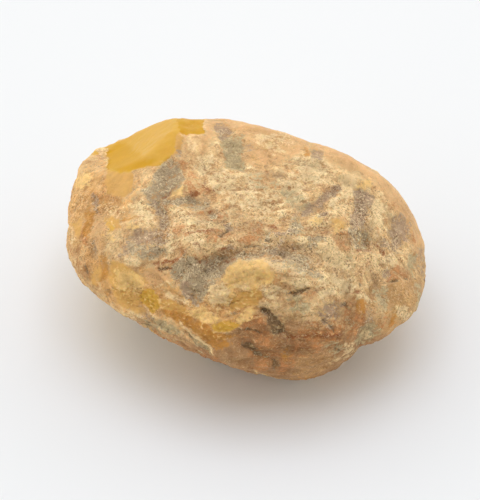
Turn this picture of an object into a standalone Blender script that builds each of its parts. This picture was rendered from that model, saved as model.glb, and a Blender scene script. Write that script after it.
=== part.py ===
"""Raw amber nodule: one weathered pebble of butterscotch amber, lying on its own worn base.

Units are metres, +Z is up, and the origin is under the middle of the stone on the surface it
lies on. The form is told the way a stone is read in the hand: the worn faces that bound it,
the swells and hollows on them, the furrows and crests that run over them, and the chips that
were struck off it. A place on the stone is a bearing (degrees round from +X, so 90 is the
back) and a lift (degrees above level), both seen from the heart of the stone.
"""

import math

import bmesh
import bpy
from mathutils import Vector, geometry, noise

MM = 0.001

# Driving dimensions of the finished stone: the forms below are stretched to meet them.
LENGTH = 61.6 * MM
DEPTH = 52.0 * MM
HEIGHT = 31.0 * MM

# The heart of the stone lies this high over the cut of its base.
HEART_HEIGHT = 15.5 * MM

# Each of the 20 faces of the starting solid is cut into (FACE_CUTS + 1) squared triangles.
FACE_CUTS = 21
# How crisp the worn faces meet: a higher number wears the edges between them less.
CRISPNESS = 13.0

# Worn faces: name, bearing, lift, distance of the face from the heart in mm.
WORN_FACES = [
    ("top", 300, 86, 14.6),
    ("top_left", 185, 60, 20.8),
    ("front_left_slope", 243, 45, 20.6),
    ("front_slope", 285, 46, 21.0),
    ("right_slope", 335, 45, 22.5),
    ("right_back_shoulder", 27, 24, 27.8),
    ("back_right_shoulder", 60, 40, 21.4),
    ("back_shoulder", 93, 45, 23.8),
    ("back_left_shoulder", 121, 39, 29.6),
    ("left_shoulder", 158, 19, 35.2),
    ("left_end", 184, -6, 31.2),
    ("left_under", 226, -37, 20.6),
    ("front_under", 248, -42, 19.9),
    ("front", 282, -6, 25.6),
    ("front_keel", 289, -43, 26.9),
    ("front_right_under", 317, -36, 26.7),
    ("lobe_under", 330, -27, 28.8),
    ("right_end", 349, -10, 36.2),
    ("right_shoulder", 8, 8, 32.8),
    ("back", 90, -5, 25.0),
    ("back_under", 95, -48, 21.5),
    ("back_left_under", 140, -38, 26.5),
    ("back_right_under", 42, -38, 26.0),
    ("right_under", 2, -48, 24.0),
    ("left_keel", 188, -52, 21.5),
    ("bottom", 300, -87, 16.5),
]

# Swells and hollows: name, bearing, lift, reach in mm, height in mm (a hollow is negative).
SWELLS = [
    ("front_boss", 294, 12, 8.0, 1.5),
    ("boss_shoulder", 286, 34, 5.0, 0.9),
    ("boss_flank", 262, 20, 4.0, -1.0),
    ("flaky_lump", 256, 12, 3.0, 0.8),
    ("honey_pit", 224, 15, 4.0, -0.7),
    ("left_fluting", 184, 18, 4.0, -0.4),
    ("waist", 321, -25, 4.6, -3.2),
    ("right_lobe", 334, 2, 6.0, 0.8),
    ("right_dimple", 350, 16, 4.0, -0.5),
    ("back_hollow", 76, 8, 7.0, -1.0),
    ("back_boss", 114, -6, 6.0, 0.9),
    ("right_back_hollow", 32, -12, 6.0, -0.9),
    ("left_back_boss", 152, -14, 6.0, 0.7),
]

# Furrows and crests: name, half width in mm, height in mm, waypoints as (bearing, lift).
RUNS = [
    ("grey_basin", 3.2, -1.0, [(246, 21), (244, 29), (250, 35)]),
    ("valley", 1.8, -1.2, [(252, 37), (267, 43), (287, 43), (303, 38), (317, 29)]),
    ("left_furrow", 1.9, -0.8, [(155, 47), (178, 46), (197, 42), (213, 40), (210, 32), (204, 28)]),
    ("middle_furrow", 1.7, -0.6, [(186, 50), (197, 56), (226, 62)]),
    ("back_furrow", 1.9, -0.5, [(102, 44), (106, 68)]),
    ("right_furrow", 1.8, -0.8, [(6, 33), (347, 32), (338, 25)]),
    ("slanting_furrow", 1.5, -0.5, [(8, 40), (353, 47), (330, 53)]),
    ("boss_crest", 1.3, 0.9, [(257, 31), (264, 37), (280, 38), (295, 34), (302, 28)]),
    ("rim_crest", 1.2, 0.8, [(220, 6), (232, 7), (241, 8), (250, 6), (260, 2), (268, -4)]),
    ("under_rim_hollow", 1.6, -0.7, [(222, 0), (234, 0), (246, -3), (256, -7)]),
    ("waist_groove", 1.6, -1.0, [(317, -16), (313, -4), (314, 5), (319, 10), (327, 14)]),
    ("left_groove", 1.0, -0.6, [(176, 24), (184, 18), (193, 15), (203, 13)]),
    ("upper_cleft", 0.9, -0.9, [(276, 21), (281, 15), (285, 10)]),
    ("lower_cleft", 0.9, -0.8, [(267, 9), (276, 3), (283, -2)]),
    ("back_cleft", 1.4, -0.8, [(62, -4), (74, -14), (92, -18)]),
    ("left_back_crest", 1.6, 0.7, [(132, 6), (150, 2), (168, -8)]),
]

# Chips: name, bearing and lift of its middle, bearing and lift that the scar faces, radius of
# the ball that would fit the scar in mm, and bite in mm.
CHIPS = [
    ("clear_chip", 146, 31, 138, 46, 34.0, 1.9),
    ("crest_chip", 123, 41, 108, 60, 9.0, 0.6),
    ("back_chip", 48, 6, 52, 30, 20.0, 0.8),
]

# Slow waves in the whole skin, and the knobs of its crust: size and height in mm.
WAVES = [(7.0, 0.45), (2.8, 0.28)]
# How far furrows and crests wander from their waypoints, and over what length, in mm.
WANDER = 0.7
WANDER_LENGTH = 4.5
# The seed of that wander, so that every run gives the same stone.
WANDER_SEED = 1795452549

AMBER_COLOUR = (0.60, 0.33, 0.12, 1.0)
AMBER_ROUGHNESS = 0.5


def towards(bearing, lift):
    """The unit vector from the heart to a bearing and lift."""
    turn, rise = math.radians(bearing), math.radians(lift)
    level = math.cos(rise)
    return Vector((math.cos(turn) * level, math.sin(turn) * level, math.sin(rise)))


def hull(direction):
    """The point of the rounded hull of the worn faces in a direction from the heart."""
    total = 0.0
    for _, bearing, lift, distance in WORN_FACES:
        facing = direction.dot(towards(bearing, lift))
        if facing > 0:
            total += (facing / (distance * MM)) ** CRISPNESS
    return direction * total ** (-1 / CRISPNESS)


def on_hull(bearing, lift):
    return hull(towards(bearing, lift))


def bell(distance, reach):
    """A smooth bump: 1 in its middle and almost 0 at two reaches."""
    return math.exp(-((distance / reach) ** 2))


def swell_height(point, swells):
    return sum(rise * bell((point - place).length, reach) for place, reach, rise in swells)


def distance_to_run(point, places):
    """How far a point lies from the nearest stretch of a furrow or crest."""
    nearest = math.inf
    for start, end in zip(places, places[1:]):
        foot, along = geometry.intersect_point_line(point, start, end)
        if along < 0:
            foot = start
        elif along > 1:
            foot = end
        nearest = min(nearest, (point - foot).length)
    return nearest


def run_height(point, runs):
    """The height that furrows and crests add, each wandering a little off its waypoints."""
    strayed = point + noise.noise_vector(point / (WANDER_LENGTH * MM)) * WANDER * MM
    return sum(rise * bell(distance_to_run(strayed, places), width) for places, width, rise in runs)


def wave_height(point):
    return sum(height * MM * noise.noise(point / (size * MM)) for size, height in WAVES)


def chipped_radius(direction, radius, chips):
    """The radius left in a direction after every chip's ball has bitten into it."""
    for middle, ball in chips:
        along = direction.dot(middle)
        inside = along * along - middle.length_squared + ball * ball
        if along > 0 and inside > 0:
            radius = min(radius, along - math.sqrt(inside))
    return radius


def placed_swells():
    return [
        (on_hull(bearing, lift), reach * MM, rise * MM)
        for _, bearing, lift, reach, rise in SWELLS
    ]


def placed_runs():
    return [
        ([on_hull(*waypoint) for waypoint in waypoints], width * MM, rise * MM)
        for _, width, rise, waypoints in RUNS
    ]


def placed_chips():
    """The middle and radius of each chip's ball, sunk into the hull by its bite."""
    chips = []
    for _, bearing, lift, scar_bearing, scar_lift, ball, bite in CHIPS:
        middle = on_hull(bearing, lift) + towards(scar_bearing, scar_lift) * (ball - bite) * MM
        chips.append((middle, ball * MM))
    return chips


def shape(mesh):
    """Moves each vertex of the starting sphere out to the skin of the stone."""
    swells, runs, chips = placed_swells(), placed_runs(), placed_chips()
    for vert in mesh.verts:
        start = vert.co.normalized()
        direction = Vector((start.x * LENGTH, start.y * DEPTH, start.z * HEIGHT)).normalized()
        point = hull(direction)
        relief = swell_height(point, swells) + run_height(point, runs) + wave_height(point)
        vert.co = direction * chipped_radius(direction, point.length + relief, chips)


def cut_base(mesh):
    """Cuts the stone level where it rests, and closes the cut with one flat face."""
    everything = [*mesh.verts, *mesh.edges, *mesh.faces]
    ground = (0, 0, -HEART_HEIGHT)
    cut = bmesh.ops.bisect_plane(
        mesh, geom=everything, dist=1e-7, plane_co=ground, plane_no=(0, 0, -1), clear_outer=True
    )
    rim = [edge for edge in cut["geom_cut"] if isinstance(edge, bmesh.types.BMEdge)]
    bmesh.ops.edgeloop_fill(mesh, edges=rim)


def fit_to_size(mesh):
    """Stretches the stone to its driving dimensions and stands it over the origin."""
    low = Vector(min(vert.co[axis] for vert in mesh.verts) for axis in range(3))
    high = Vector(max(vert.co[axis] for vert in mesh.verts) for axis in range(3))
    foot = Vector(((low.x + high.x) / 2, (low.y + high.y) / 2, low.z))
    size = high - low
    bmesh.ops.translate(mesh, vec=-foot, verts=mesh.verts)
    stretch = Vector((LENGTH / size.x, DEPTH / size.y, HEIGHT / size.z))
    bmesh.ops.scale(mesh, vec=stretch, verts=mesh.verts)


def amber_material():
    material = bpy.data.materials.new("amber")
    material.use_nodes = True
    surface = material.node_tree.nodes["Principled BSDF"]
    surface.inputs["Base Color"].default_value = AMBER_COLOUR
    surface.inputs["Roughness"].default_value = AMBER_ROUGHNESS
    surface.inputs["Metallic"].default_value = 0.0
    return material


def nodule():
    noise.seed_set(WANDER_SEED)
    mesh = bmesh.new()
    bmesh.ops.create_icosphere(mesh, subdivisions=1, radius=1.0)
    bmesh.ops.subdivide_edges(mesh, edges=mesh.edges, cuts=FACE_CUTS, use_grid_fill=True)
    shape(mesh)
    cut_base(mesh)
    fit_to_size(mesh)
    bmesh.ops.recalc_face_normals(mesh, faces=mesh.faces)
    data = bpy.data.meshes.new("raw_amber")
    mesh.to_mesh(data)
    mesh.free()
    data.shade_smooth()
    data.materials.append(amber_material())
    stone = bpy.data.objects.new("raw_amber", data)
    bpy.context.scene.collection.objects.link(stone)
    return stone


def main():
    for old in list(bpy.data.objects):
        bpy.data.objects.remove(old)
    nodule()


if __name__ == "__main__":
    main()
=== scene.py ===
"""Raw amber nodule on a pale studio floor: the finish of the stone, its light and its camera.

Laid out as a Blender add-on with one operator for the stone and one for the stage. Sizes are in
millimetres where a name or a comment says so, and in metres elsewhere.
"""

import math

import bmesh
import bpy
import numpy as np
from bpy.props import FloatProperty, FloatVectorProperty, IntProperty, PointerProperty
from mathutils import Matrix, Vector, noise
from mathutils.bvhtree import BVHTree


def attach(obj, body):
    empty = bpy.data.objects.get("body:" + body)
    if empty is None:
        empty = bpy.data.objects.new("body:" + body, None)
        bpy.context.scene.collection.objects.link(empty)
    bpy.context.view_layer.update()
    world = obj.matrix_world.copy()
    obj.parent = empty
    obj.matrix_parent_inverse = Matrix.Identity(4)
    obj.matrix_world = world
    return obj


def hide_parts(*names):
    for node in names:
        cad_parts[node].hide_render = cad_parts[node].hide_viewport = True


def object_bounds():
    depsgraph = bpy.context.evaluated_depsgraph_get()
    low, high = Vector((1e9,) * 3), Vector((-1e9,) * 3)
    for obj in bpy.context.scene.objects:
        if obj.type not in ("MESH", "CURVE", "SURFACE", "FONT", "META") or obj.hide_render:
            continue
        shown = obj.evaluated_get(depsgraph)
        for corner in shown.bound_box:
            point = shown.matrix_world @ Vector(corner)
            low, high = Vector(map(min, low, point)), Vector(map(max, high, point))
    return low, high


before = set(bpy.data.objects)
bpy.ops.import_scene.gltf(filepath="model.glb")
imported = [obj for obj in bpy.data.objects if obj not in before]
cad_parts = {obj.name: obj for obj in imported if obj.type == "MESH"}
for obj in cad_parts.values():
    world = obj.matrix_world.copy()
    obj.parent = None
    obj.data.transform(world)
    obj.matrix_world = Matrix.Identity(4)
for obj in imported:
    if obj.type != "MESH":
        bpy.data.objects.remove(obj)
CAD_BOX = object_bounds()

bl_info = {
    "name": "Raw Amber Nodule",
    "version": (1, 0, 0),
    "blender": (4, 5, 0),
    "location": "3D View > Sidebar > Amber",
    "description": "Makes a weathered nodule of raw amber and a pale studio floor under it",
    "category": "Add Mesh",
}

MM = 0.001
NODE = "raw_amber"

# The heart of the stone: the fine skin is laid onto the CAD stone by rays from here.
HEART = Vector((0.38, 0.25, 15.45)) * MM
# How often the fine skin is relaxed, which takes the flat facets of the CAD stone out of it.
RELAX_PASSES = 10
# How often a copy of it is relaxed to find its hollows.
HOLLOW_PASSES = 40

# The marks are told on a drawing of the stone's best face: the face it shows from the front,
# from this lift in degrees and this distance in mm from the focus. The drawing is 480 steps wide
# and 500 high, x runs right and y runs down, and the focus lies at DRAWING_MIDDLE. There
# DRAWING_SCALE steps make one mm.
DRAWING_LIFT = 45
DRAWING_DISTANCE = 330.0
DRAWING_SCALE = 5.84
DRAWING_SIZE = (480, 500)
DRAWING_MIDDLE = (248, 248)
DRAWING_FOCUS = Vector((0.4, 0.5, 15.5))

# A strip at the left end and a spot on the right that two finishes share.
LEFT_STRIP = [(93, 214), (99, 213), (104, 224), (106, 240), (103, 252), (97, 250), (92, 236)]
RIGHT_SPOT = [(307, 218), (316, 216), (327, 219), (326, 227), (313, 230)]

# Areas by finish: how soft the edge is in mm, how fully it covers, and its outline. Grit isn't a
# finish: it tells where the grain of the crust is coarser.
AREAS = {
    "peach": [
        (0.8, 0.9, [(181, 135), (204, 134), (215, 110), (262, 112), (310, 128), (360, 150), (400, 185),
                    (425, 230), (428, 262), (414, 250), (402, 222), (386, 195), (362, 174), (330, 162),
                    (302, 148), (280, 160), (262, 168), (248, 160), (246, 138), (236, 130), (214, 126),
                    (206, 152), (190, 156), (183, 148)]),
        (0.35, 1.0, LEFT_STRIP),
        (0.5, 0.8, [(143, 272), (155, 269), (172, 276), (168, 282), (158, 286), (146, 287), (138, 277)]),
    ],
    "cream": [
        (1.2, 0.55, [(215, 165), (250, 172), (300, 200), (285, 215), (246, 205), (222, 200), (205, 180)]),
        (0.3, 0.9, [(263, 229), (269, 227), (273, 231), (267, 235)]),
        (0.4, 0.9, [(296, 238), (303, 235), (308, 241), (303, 248), (296, 245)]),
        (0.4, 0.8, [(182, 216), (194, 215), (204, 222), (198, 227), (184, 224)]),
        (0.8, 0.9, [(208, 170), (222, 168), (236, 176), (232, 190), (216, 192), (208, 184)]),
        (0.7, 0.9, [(278, 180), (292, 176), (303, 184), (298, 196), (284, 196)]),
        (0.8, 0.9, [(298, 160), (320, 158), (330, 168), (325, 181), (303, 180)]),
        (0.5, 0.9, [(186, 226), (200, 231), (204, 240), (203, 250), (192, 250), (182, 236)]),
        (0.5, 0.8, [(172, 210), (205, 216), (216, 221), (200, 226), (185, 222)]),
        (0.4, 0.9, [(163, 236), (176, 232), (180, 242), (177, 252), (167, 256)]),
        (0.4, 0.8, [(128, 204), (142, 200), (150, 210), (153, 220), (146, 226), (136, 216)]),
        (0.4, 0.4, [(100, 204), (112, 203), (122, 206), (126, 212), (118, 216), (108, 214)]),
        (0.4, 0.8, [(124, 256), (136, 257), (142, 262), (136, 267), (126, 264)]),
        (0.5, 0.8, [(205, 289), (216, 285), (228, 283), (233, 288), (229, 298), (216, 308), (208, 302)]),
        (0.35, 1.0, [(263, 262), (280, 263), (293, 266), (304, 271), (312, 276), (304, 277), (288, 275),
                     (268, 268)]),
        (0.5, 0.8, [(288, 277), (300, 275), (310, 279), (307, 287), (297, 288)]),
        (0.4, 0.7, [(161, 288), (170, 291), (190, 302), (194, 309), (184, 307), (165, 297)]),
        (0.4, 0.9, [(315, 242), (330, 246), (346, 258), (353, 269), (336, 263), (320, 254)]),
        (0.4, 1.0, RIGHT_SPOT),
        (0.4, 0.9, [(328, 240), (334, 244), (336, 250), (328, 251), (324, 246)]),
        (0.4, 0.8, [(338, 190), (350, 185), (355, 190), (350, 198), (328, 208), (332, 198)]),
        (0.4, 0.9, [(371, 205), (378, 199), (385, 206), (384, 218), (380, 227), (374, 222)]),
        (0.4, 0.7, [(384, 255), (396, 256), (400, 264), (390, 268), (380, 263)]),
        (0.4, 0.8, [(322, 270), (334, 272), (340, 280), (330, 290), (318, 286)]),
        (0.4, 0.3, [(302, 300), (312, 300), (316, 306), (308, 310)]),
        (0.5, 0.8, [(262, 285), (275, 284), (283, 291), (276, 300), (264, 298)]),
        (0.5, 1.0, [(256, 301), (269, 301), (271, 309), (260, 310)]),
        (0.5, 1.0, [(336, 281), (350, 280), (354, 291), (340, 294)]),
        (0.6, 0.8, [(255, 200), (275, 197), (283, 206), (270, 212), (256, 210)]),
        (0.5, 0.8, [(198, 158), (212, 157), (215, 170), (202, 173)]),
        (0.6, 0.6, [(255, 138), (284, 131), (293, 142), (272, 153), (256, 149)]),
        (0.5, 0.6, [(344, 344), (356, 344), (358, 354), (346, 358)]),
        (0.5, 0.5, [(356, 333), (368, 330), (372, 338), (360, 343)]),
        (0.35, 0.9, [(395, 309), (404, 306), (409, 312), (404, 319), (397, 316)]),
        (0.3, 0.7, [(380, 308), (384, 310), (387, 319), (382, 318)]),
        (0.3, 0.7, [(375, 291), (381, 291), (382, 304), (376, 304)]),
        (0.4, 1.0, [(353, 294), (366, 295), (371, 301), (358, 301)]),
        (0.3, 0.8, [(315, 292), (330, 288), (338, 292), (330, 300), (318, 300)]),
        (0.4, 0.5, [(128, 308), (136, 306), (141, 312), (138, 318), (130, 318)]),
        (0.5, 0.45, [(66, 225), (72, 226), (74, 238), (70, 244), (65, 236)]),
    ],
    "glow": [
        (2.2, 0.9, [(60, 195), (80, 172), (104, 170), (135, 180), (128, 215), (100, 215), (96, 250),
                    (112, 275), (140, 266), (172, 285), (205, 300), (232, 268), (270, 264), (282, 280),
                    (262, 306), (236, 335), (200, 340), (160, 318), (110, 300), (84, 270), (64, 240)]),
    ],
    # A darker brown wash over the lower belt, which turns down and away from the light: partly its own
    # colour, partly painted shade.
    "umber": [
        (1.8, 0.9, [(100, 306), (150, 332), (190, 344), (225, 336), (240, 318), (262, 312), (300, 322),
                    (345, 328), (352, 300), (362, 310), (385, 330), (440, 330), (400, 400), (200, 400),
                    (100, 350)]),
        (1.2, 0.6, [(68, 246), (78, 240), (90, 268), (104, 290), (96, 296), (74, 270)]),
    ],
    "tan": [
        (0.8, 0.6, [(284, 367), (310, 354), (336, 350), (333, 362), (308, 379), (290, 380)]),
        (0.8, 0.8, [(372, 302), (392, 314), (412, 304), (410, 320), (394, 332), (368, 338)]),
        (0.4, 0.9, [(387, 284), (400, 281), (424, 282), (420, 296), (402, 313), (392, 318), (383, 300)]),
        (0.6, 0.6, [(364, 288), (380, 286), (382, 300), (380, 318), (370, 328), (364, 320)]),
        (0.4, 0.5, LEFT_STRIP),
    ],
    "brown": [
        (0.5, 0.9, [(247, 318), (255, 315), (265, 318), (268, 330), (274, 336), (268, 341), (246, 336),
                    (238, 331)]),
        (0.5, 0.85, [(299, 329), (318, 323), (330, 330), (345, 337), (340, 343), (306, 341)]),
        (0.6, 0.7, [(285, 336), (300, 340), (318, 343), (316, 352), (300, 357), (286, 345)]),
        (0.5, 0.6, [(257, 340), (268, 338), (280, 336), (285, 345), (276, 361), (257, 349)]),
        (0.5, 0.7, [(186, 186), (200, 184), (212, 187), (216, 192), (207, 197), (189, 193)]),
        (0.4, 0.8, [(196, 350), (209, 353), (217, 358), (226, 364), (203, 358)]),
        (0.4, 0.5, [(139, 326), (160, 333), (179, 345), (150, 335)]),
        (0.5, 0.6, [(243, 343), (252, 343), (262, 356), (246, 351)]),
        (0.7, 0.7, [(343, 304), (364, 304), (368, 316), (360, 336), (348, 338), (340, 320)]),
        (0.4, 0.7, [(172, 250), (184, 246), (204, 258), (186, 254), (176, 256)]),
        (0.8, 0.55, [(234, 224), (250, 220), (264, 224), (266, 236), (258, 246), (240, 244)]),
        (0.5, 0.55, [(194, 213), (212, 210), (230, 216), (226, 222), (200, 222)]),
        (0.5, 0.35, [(277, 273), (290, 271), (293, 277), (287, 287), (278, 284)]),
        (0.5, 0.5, [(178, 246), (200, 250), (206, 258), (190, 257), (180, 262), (174, 254)]),
        (0.4, 0.5, [(322, 228), (330, 226), (333, 234), (322, 238), (314, 233)]),
        (0.4, 0.6, [(334, 234), (352, 228), (357, 242), (350, 251), (334, 250)]),
        (0.4, 0.5, [(404, 222), (412, 226), (414, 240), (408, 244)]),
        (0.4, 0.5, [(388, 202), (407, 206), (406, 211), (388, 207)]),
        (0.5, 0.5, [(88, 194), (100, 190), (118, 199), (92, 200)]),
        (0.5, 0.7, [(390, 269), (398, 265), (409, 279), (387, 282)]),
        (0.4, 0.6, [(177, 162), (184, 160), (186, 170), (181, 175)]),
        (0.5, 0.8, [(326, 326), (342, 325), (344, 336), (330, 337)]),
        (0.5, 0.6, [(304, 290), (317, 290), (317, 300), (306, 301)]),
        (0.5, 0.6, [(184, 171), (196, 171), (197, 184), (187, 184)]),
        (0.5, 0.6, [(268, 224), (282, 224), (283, 234), (270, 235)]),
        (0.6, 0.9, [(275, 356), (295, 355), (293, 370), (279, 371)]),
        (0.5, 0.6, [(171, 226), (184, 226), (188, 234), (175, 238)]),
        (0.5, 0.6, [(204, 231), (220, 230), (237, 229), (238, 239), (223, 241), (208, 244)]),
        (0.5, 0.9, [(77, 231), (86, 231), (89, 247), (80, 248)]),
        (0.5, 0.6, [(155, 259), (172, 258), (176, 268), (158, 270)]),
        (0.5, 0.6, [(322, 314), (338, 312), (342, 326), (326, 328)]),
        (0.6, 0.9, [(250, 355), (272, 353), (277, 367), (258, 369)]),
        (0.4, 0.5, [(376, 318), (388, 314), (392, 326), (378, 330)]),
    ],
    "orange": [
        (0.5, 1.0, [(160, 309), (170, 306), (186, 315), (200, 324), (218, 333), (233, 337), (222, 341),
                    (203, 337), (186, 326), (168, 318)]),
        (0.5, 0.8, [(207, 341), (228, 341), (232, 346), (222, 349), (214, 347)]),
        (0.4, 1.0, [(84, 212), (90, 206), (94, 212), (92, 222), (89, 238), (83, 236)]),
        (0.4, 0.7, [(356, 301), (362, 299), (366, 305), (361, 315), (355, 310)]),
        (0.5, 0.5, [(283, 347), (292, 345), (294, 355), (288, 364), (281, 362)]),
        (0.4, 0.7, [(303, 148), (308, 150), (309, 156), (304, 157)]),
        (0.5, 0.6, [(262, 176), (272, 178), (270, 181), (262, 181)]),
        (0.6, 0.4, [(104, 193), (125, 197), (130, 202), (106, 200)]),
        (0.6, 0.8, [(97, 263), (109, 264), (111, 279), (99, 282)]),
        (0.4, 0.6, [(229, 307), (236, 297), (243, 296), (243, 305), (234, 309)]),
        (0.4, 0.6, [(228, 286), (233, 288), (234, 295), (229, 297)]),
        (0.4, 0.6, [(388, 312), (393, 311), (395, 322), (392, 328), (388, 325)]),
        (0.5, 0.7, [(98, 258), (105, 256), (107, 264), (104, 273), (99, 270)]),
    ],
    "amber": [
        (0.35, 1.0, [(106, 168), (131, 168), (132, 190), (126, 197), (106, 193)]),
        (0.6, 0.9, [(70, 222), (79, 219), (81, 228), (78, 238), (72, 234)]),
        (0.7, 0.6, [(92, 262), (100, 266), (102, 278), (96, 288), (90, 282)]),
        (0.5, 0.6, [(329, 219), (344, 215), (349, 228), (334, 233)]),
        (0.35, 1.0, [(233, 298), (240, 293), (250, 292), (257, 286), (264, 290), (257, 306), (229, 309)]),
        (0.6, 0.9, [(114, 291), (122, 286), (132, 285), (139, 289), (136, 306), (128, 309), (115, 298)]),
        (0.6, 0.9, [(172, 116), (184, 114), (184, 140), (179, 154), (170, 159), (170, 140)]),
        (0.6, 1.0, [(104, 218), (120, 218), (124, 229), (108, 231)]),
        (0.7, 0.8, [(110, 262), (120, 262), (136, 270), (150, 284), (136, 288), (114, 292), (109, 278)]),
        (0.5, 0.7, [(126, 304), (139, 305), (146, 313), (134, 314)]),
        (0.5, 0.8, [(158, 300), (168, 298), (186, 308), (188, 318), (176, 314), (160, 308)]),
    ],
    "butter": [
        (0.5, 0.9, [(79, 178), (85, 174), (90, 177), (89, 184), (82, 188), (77, 186)]),
        (0.5, 1.0, [(229, 270), (236, 262), (262, 261), (274, 272), (272, 283), (262, 285), (252, 291),
                    (238, 289), (226, 288), (222, 279)]),
        (0.4, 0.9, [(186, 314), (206, 309), (218, 318), (216, 326), (200, 322)]),
        (0.8, 0.8, [(114, 274), (130, 268), (142, 275), (146, 290), (134, 294), (118, 289)]),
        (0.6, 0.8, [(216, 289), (232, 284), (236, 296), (226, 306), (212, 304)]),
        (0.5, 0.8, [(236, 318), (250, 308), (256, 311), (250, 320), (236, 328)]),
        (0.6, 0.5, [(124, 224), (131, 221), (139, 226), (136, 232), (128, 233)]),
        (0.5, 0.5, [(101, 232), (112, 234), (118, 239), (114, 243), (104, 241)]),
        (0.5, 0.8, [(173, 183), (184, 187), (184, 194), (176, 199), (166, 197)]),
        (0.4, 0.6, RIGHT_SPOT),
        (0.4, 0.6, [(333, 224), (339, 224), (341, 233), (334, 235)]),
        (0.5, 0.8, [(357, 186), (362, 181), (370, 180), (373, 186), (365, 189)]),
    ],
    "honey": [
        (0.4, 1.0, [(138, 296), (143, 291), (150, 289), (157, 291), (158, 307), (151, 312), (139, 302)]),
        (0.4, 0.9, [(212, 326), (222, 322), (232, 323), (239, 326), (233, 331), (214, 331)]),
        (0.6, 0.55, [(104, 220), (116, 221), (117, 231), (106, 232)]),
        (0.6, 0.3, [(255, 275), (266, 273), (274, 277), (271, 283), (258, 282)]),
    ],
    "gold": [
        (0.25, 1.0, [(106, 146), (121, 139), (134, 131), (150, 121), (170, 110), (181, 112), (180, 126),
                     (176, 140), (173, 153), (167, 160), (160, 163), (148, 165), (132, 168), (131, 171),
                     (121, 173), (107, 171)]),
        (0.25, 1.0, [(92, 153), (96, 151), (98, 156), (94, 159)]),
    ],
    "deep": [
        (1.4, 0.9, [(106, 150), (120, 143), (132, 148), (140, 158), (156, 158), (150, 165), (132, 168),
                    (121, 173), (107, 171)]),
        (0.2, 1.0, [(170, 110), (205, 110), (204, 124), (203, 133), (196, 135), (179, 134), (177, 122)]),
    ],
    "moss": [
        (0.4, 0.9, [(223, 136), (242, 134), (246, 138), (242, 152), (241, 165), (245, 172), (228, 165),
                    (221, 143)]),
        (0.6, 0.4, [(244, 172), (258, 174), (276, 182), (282, 190), (262, 190)]),
        (0.5, 0.7, [(282, 192), (296, 191), (303, 200), (291, 206)]),
        (0.5, 0.6, [(288, 220), (303, 214), (308, 220), (308, 232), (296, 236), (288, 230)]),
        (0.4, 0.6, [(296, 205), (308, 203), (318, 205), (312, 211), (298, 211)]),
        (0.4, 0.8, [(408, 255), (415, 252), (417, 264), (413, 276), (406, 269)]),
        (0.35, 0.85, [(360, 232), (366, 230), (373, 238), (371, 246), (363, 252), (357, 250)]),
        (0.4, 0.6, [(340, 254), (350, 252), (358, 256), (350, 260)]),
        (0.4, 0.6, [(172, 267), (184, 266), (186, 278), (176, 280)]),
        (0.5, 0.75, [(283, 297), (296, 295), (308, 297), (311, 304), (306, 312), (294, 313)]),
        (0.35, 1.0, [(139, 320), (150, 317), (162, 322), (177, 327), (181, 336), (168, 336), (150, 330)]),
        (0.35, 1.0, [(186, 335), (194, 336), (203, 342), (213, 354), (202, 353), (192, 346)]),
        (0.5, 0.6, [(322, 348), (330, 343), (340, 342), (346, 350), (337, 358)]),
        (0.5, 0.5, [(345, 318), (352, 316), (356, 324), (350, 328)]),
        (0.4, 0.8, [(306, 143), (314, 146), (318, 150), (312, 152)]),
        (0.5, 0.5, [(376, 288), (388, 287), (388, 310), (376, 312)]),
        (0.4, 0.6, [(415, 284), (420, 286), (419, 304), (414, 312), (413, 298)]),
        (0.5, 0.9, [(360, 326), (374, 322), (382, 332), (368, 340), (358, 342)]),
    ],
    "grey": [
        (0.35, 1.0, [(160, 163), (170, 160), (179, 166), (186, 177), (177, 187), (166, 196), (152, 196),
                     (141, 190), (150, 186), (153, 175)]),
        (0.4, 0.8, [(126, 242), (148, 244), (162, 246), (165, 255), (150, 260), (132, 252)]),
        (0.35, 0.65, [(178, 199), (186, 196), (200, 200), (212, 205), (205, 209), (183, 206)]),
        (0.3, 0.9, [(142, 189), (155, 189), (163, 197), (196, 198), (198, 204), (164, 205), (166, 216),
                    (158, 214), (149, 203)]),
        (0.3, 0.8, [(207, 214), (213, 212), (217, 216), (215, 220), (209, 219)]),
        (0.4, 1.0, [(185, 254), (198, 259), (214, 257), (234, 254), (241, 258), (228, 268), (217, 280),
                    (206, 296), (198, 307), (183, 295), (177, 280), (169, 270), (178, 262)]),
        (0.35, 0.9, [(230, 252), (238, 248), (248, 252), (266, 251), (262, 258), (236, 260)]),
        (0.6, 0.7, [(263, 246), (282, 250), (302, 257), (318, 268), (321, 281), (298, 273), (274, 263)]),
        (0.3, 0.8, [(264, 234), (270, 233), (273, 238), (270, 243), (264, 241)]),
        (0.3, 0.8, [(307, 237), (322, 235), (324, 243), (316, 250), (308, 248)]),
        (0.4, 0.65, [(351, 226), (364, 229), (373, 240), (368, 252), (357, 250), (350, 238)]),
        (0.5, 0.6, [(290, 220), (303, 216), (307, 222), (305, 232), (296, 234), (289, 229)]),
    ],
    "mauve": [
        (0.4, 0.9, [(214, 126), (222, 124), (231, 127), (233, 132), (221, 140)]),
        (0.5, 0.5, [(243, 138), (250, 140), (253, 148), (250, 153), (244, 150)]),
        (0.4, 0.85, [(311, 150), (318, 150), (324, 154), (322, 161), (311, 159)]),
        (0.3, 0.8, [(175, 149), (179, 148), (181, 153), (179, 160), (175, 158)]),
        (0.4, 0.9, [(148, 196), (154, 198), (162, 212), (171, 222), (171, 233), (166, 237), (159, 220)]),
        (0.5, 0.85, [(127, 239), (135, 231), (162, 228), (168, 240), (145, 245)]),
        (0.35, 0.8, [(91, 193), (97, 196), (99, 203), (98, 213), (92, 204)]),
        (0.4, 0.6, [(86, 238), (92, 240), (98, 254), (92, 254)]),
        (0.35, 0.6, [(222, 249), (230, 244), (235, 247), (226, 253)]),
        (0.35, 1.0, [(223, 226), (229, 223), (235, 226), (232, 231), (225, 231)]),
        (0.4, 0.6, [(264, 252), (274, 250), (284, 250), (289, 258), (276, 262), (268, 259)]),
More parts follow.
